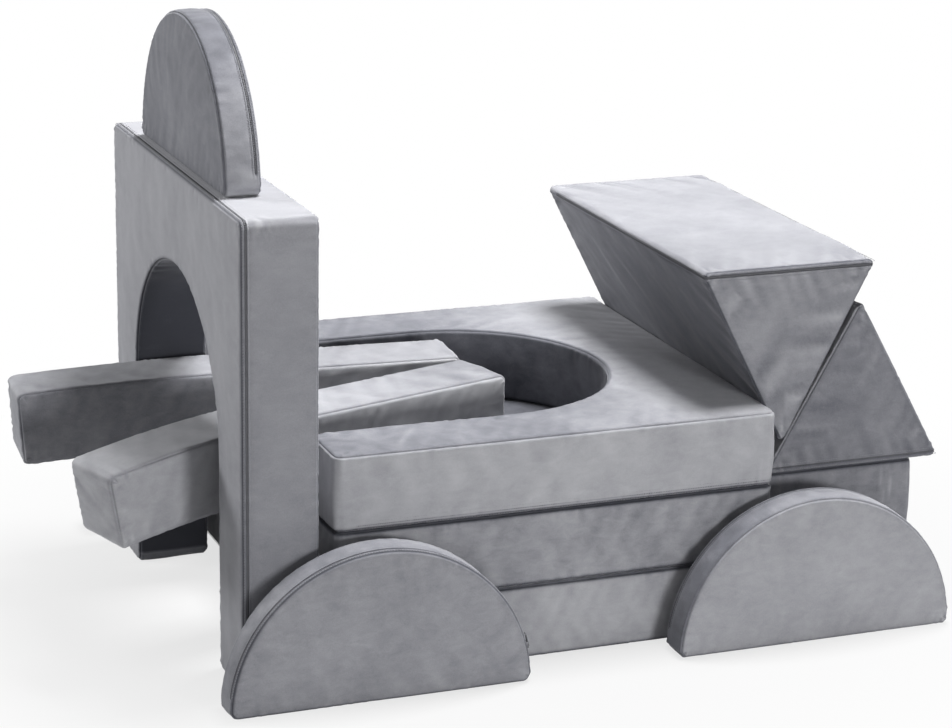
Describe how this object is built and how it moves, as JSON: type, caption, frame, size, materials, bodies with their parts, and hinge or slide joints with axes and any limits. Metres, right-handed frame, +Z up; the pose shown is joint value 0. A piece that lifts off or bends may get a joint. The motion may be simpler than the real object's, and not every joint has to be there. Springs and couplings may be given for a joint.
{
  "type": "modular foam play sofa",
  "caption": "Play sofa of loose velvet-covered foam cushions, stacked as a toy vehicle: square bases, arch panels, half-disc wheels, beams, blocks and prisms.",
  "frame": {"origin": "on the floor, under the middle of the lower base cushion", "axes": "+X from the standing arch towards the prisms, +Y from the near side with the pictured wheels to the far side, +Z up"},
  "size_m": [1.4746, 0.938, 1.007],
  "materials": {
    "velvet": "short grey velvet pile",
    "foam": "open-cell foam, cut faces",
    "zip_chain": "nylon coil zip",
    "zip_slider": "grey enamel"
  },
  "bodies": {
    "lower_base": {"lower_base_cover": "velvet", "lower_base_foam": "foam", "lower_base_zip": "zip_chain"},
    "lower_base_slider": {"lower_base_zip_slider": "zip_slider"},
    "upper_base": {"upper_base_cover": "velvet", "upper_base_foam": "foam", "upper_base_zip": "zip_chain"},
    "upper_base_slider": {"upper_base_zip_slider": "zip_slider"},
    "seat_arch": {"seat_arch_cover": "velvet", "seat_arch_foam": "foam", "seat_arch_zip": "zip_chain"},
    "seat_arch_slider": {"seat_arch_zip_slider": "zip_slider"},
    "standing_arch": {"standing_arch_cover": "velvet", "standing_arch_foam": "foam", "standing_arch_zip": "zip_chain"},
    "standing_arch_slider": {"standing_arch_zip_slider": "zip_slider"},
    "crest_half_disc": {"crest_half_disc_cover": "velvet", "crest_half_disc_foam": "foam", "crest_half_disc_zip": "zip_chain"},
    "crest_half_disc_slider": {"crest_half_disc_zip_slider": "zip_slider"},
    "front_near_wheel": {"front_near_wheel_cover": "velvet", "front_near_wheel_foam": "foam", "front_near_wheel_zip": "zip_chain"},
    "front_near_wheel_slider": {"front_near_wheel_zip_slider": "zip_slider"},
    "rear_near_wheel": {"rear_near_wheel_cover": "velvet", "rear_near_wheel_foam": "foam", "rear_near_wheel_zip": "zip_chain"},
    "rear_near_wheel_slider": {"rear_near_wheel_zip_slider": "zip_slider"},
    "front_far_wheel": {"front_far_wheel_cover": "velvet", "front_far_wheel_foam": "foam", "front_far_wheel_zip": "zip_chain"},
    "front_far_wheel_slider": {"front_far_wheel_zip_slider": "zip_slider"},
    "rear_far_wheel": {"rear_far_wheel_cover": "velvet", "rear_far_wheel_foam": "foam", "rear_far_wheel_zip": "zip_chain"},
    "rear_far_wheel_slider": {"rear_far_wheel_zip_slider": "zip_slider"},
    "near_beam": {"near_beam_cover": "velvet", "near_beam_foam": "foam", "near_beam_zip": "zip_chain"},
    "near_beam_slider": {"near_beam_zip_slider": "zip_slider"},
    "far_beam": {"far_beam_cover": "velvet", "far_beam_foam": "foam", "far_beam_zip": "zip_chain"},
    "far_beam_slider": {"far_beam_zip_slider": "zip_slider"},
    "lower_block": {"lower_block_cover": "velvet", "lower_block_foam": "foam", "lower_block_zip": "zip_chain"},
    "lower_block_slider": {"lower_block_zip_slider": "zip_slider"},
    "upper_block": {"upper_block_cover": "velvet", "upper_block_foam": "foam", "upper_block_zip": "zip_chain"},
    "upper_block_slider": {"upper_block_zip_slider": "zip_slider"},
    "lower_prism": {"lower_prism_cover": "velvet", "lower_prism_foam": "foam", "lower_prism_zip": "zip_chain"},
    "lower_prism_slider": {"lower_prism_zip_slider": "zip_slider"},
    "upper_prism": {"upper_prism_cover": "velvet", "upper_prism_foam": "foam", "upper_prism_zip": "zip_chain"},
    "upper_prism_slider": {"upper_prism_zip_slider": "zip_slider"}
  },
  "joints": [
    {"name": "upper_base_lift", "type": "slide", "parent": "lower_base", "child": "upper_base", "axis": [0, 0, 1], "range_m": [0, 0.025]},
    {"name": "seat_arch_lift", "type": "slide", "parent": "upper_base", "child": "seat_arch", "axis": [0, 0, 1], "range_m": [0, 0.3]},
    {"name": "upper_prism_lift", "type": "slide", "parent": "seat_arch", "child": "upper_prism", "axis": [0, 0, 1], "range_m": [0, 0.3]},
    {"name": "standing_arch_lift", "type": "slide", "parent": "lower_base", "child": "standing_arch", "axis": [0, 0, 1], "range_m": [0, 0.4]},
    {"name": "crest_lift", "type": "slide", "parent": "standing_arch", "child": "crest_half_disc", "axis": [0, 0, 1], "range_m": [0, 0.25]},
    {"name": "front_near_wheel_pull", "type": "slide", "parent": "lower_base", "child": "front_near_wheel", "axis": [0, -1, 0], "range_m": [0, 0.3]},
    {"name": "rear_near_wheel_pull", "type": "slide", "parent": "lower_base", "child": "rear_near_wheel", "axis": [0, -1, 0], "range_m": [0, 0.3]},
    {"name": "front_far_wheel_pull", "type": "slide", "parent": "lower_base", "child": "front_far_wheel", "axis": [0, 1, 0], "range_m": [0, 0.3]},
    {"name": "rear_far_wheel_pull", "type": "slide", "parent": "lower_base", "child": "rear_far_wheel", "axis": [0, 1, 0], "range_m": [0, 0.3]},
    {"name": "near_beam_pull", "type": "slide", "parent": "upper_base", "child": "near_beam", "axis": [-0.9558, -0.294, 0], "range_m": [0, 0.6]},
    {"name": "far_beam_pull", "type": "slide", "parent": "upper_base", "child": "far_beam", "axis": [-0.9973, 0.0732, 0], "range_m": [0, 0.6]},
    {"name": "lower_block_pull", "type": "slide", "parent": "lower_base", "child": "lower_block", "axis": [1, 0, 0], "range_m": [0, 0.3]},
    {"name": "upper_block_pull", "type": "slide", "parent": "lower_block", "child": "upper_block", "axis": [1, 0, 0], "range_m": [0, 0.3]},
    {"name": "lower_prism_pull", "type": "slide", "parent": "upper_block", "child": "lower_prism", "axis": [1, 0, 0], "range_m": [0, 0.3]},
    {"name": "lower_base_zip_run", "type": "slide", "parent": "lower_base", "child": "lower_base_slider", "axis": [-1, 0, 0], "range_m": [0, 0.62]},
    {"name": "upper_base_zip_run", "type": "slide", "parent": "upper_base", "child": "upper_base_slider", "axis": [-1, 0, 0], "range_m": [0, 0.62]},
    {"name": "lower_block_zip_run", "type": "slide", "parent": "lower_block", "child": "lower_block_slider", "axis": [-1, 0, 0], "range_m": [0, 0.14]},
    {"name": "upper_block_zip_run", "type": "slide", "parent": "upper_block", "child": "upper_block_slider", "axis": [-1, 0, 0], "range_m": [0, 0.14]},
    {"name": "seat_arch_zip_run", "type": "slide", "parent": "seat_arch", "child": "seat_arch_slider", "axis": [1, 0, 0], "range_m": [0, 0.62]},
    {"name": "standing_arch_zip_run", "type": "slide", "parent": "standing_arch", "child": "standing_arch_slider", "axis": [0, 0, 1], "range_m": [0, 0.62]},
    {"name": "lower_prism_zip_run", "type": "slide", "parent": "lower_prism", "child": "lower_prism_slider", "axis": [0, 1, 0], "range_m": [0, 0.5]},
    {"name": "upper_prism_zip_run", "type": "slide", "parent": "upper_prism", "child": "upper_prism_slider", "axis": [0, 1, 0], "range_m": [0, 0.5]},
    {"name": "near_beam_zip_run", "type": "slide", "parent": "near_beam", "child": "near_beam_slider", "axis": [-0.9558, -0.294, 0], "range_m": [0, 0.27]},
    {"name": "far_beam_zip_run", "type": "slide", "parent": "far_beam", "child": "far_beam_slider", "axis": [-0.9973, 0.0732, 0], "range_m": [0, 0.27]},
    {"name": "front_near_wheel_zip_run", "type": "hinge", "parent": "front_near_wheel", "child": "front_near_wheel_slider", "pos_m": [-0.328, -0.456, 0], "axis": [0, -1, 0], "range_deg": [0, 152]},
    {"name": "rear_near_wheel_zip_run", "type": "hinge", "parent": "rear_near_wheel", "child": "rear_near_wheel_slider", "pos_m": [0.428, -0.416, 0], "axis": [0, -1, 0], "range_deg": [0, 152]},
    {"name": "front_far_wheel_zip_run", "type": "hinge", "parent": "front_far_wheel", "child": "front_far_wheel_slider", "pos_m": [-0.328, 0.456, 0], "axis": [0, -1, 0], "range_deg": [0, 152]},
    {"name": "rear_far_wheel_zip_run", "type": "hinge", "parent": "rear_far_wheel", "child": "rear_far_wheel_slider", "pos_m": [0.428, 0.416, 0], "axis": [0, -1, 0], "range_deg": [0, 152]},
    {"name": "crest_zip_run", "type": "hinge", "parent": "crest_half_disc", "child": "crest_half_disc_slider", "pos_m": [-0.465, 0.006, 0.76], "axis": [1, 0, 0], "range_deg": [0, 152]}
  ]
}
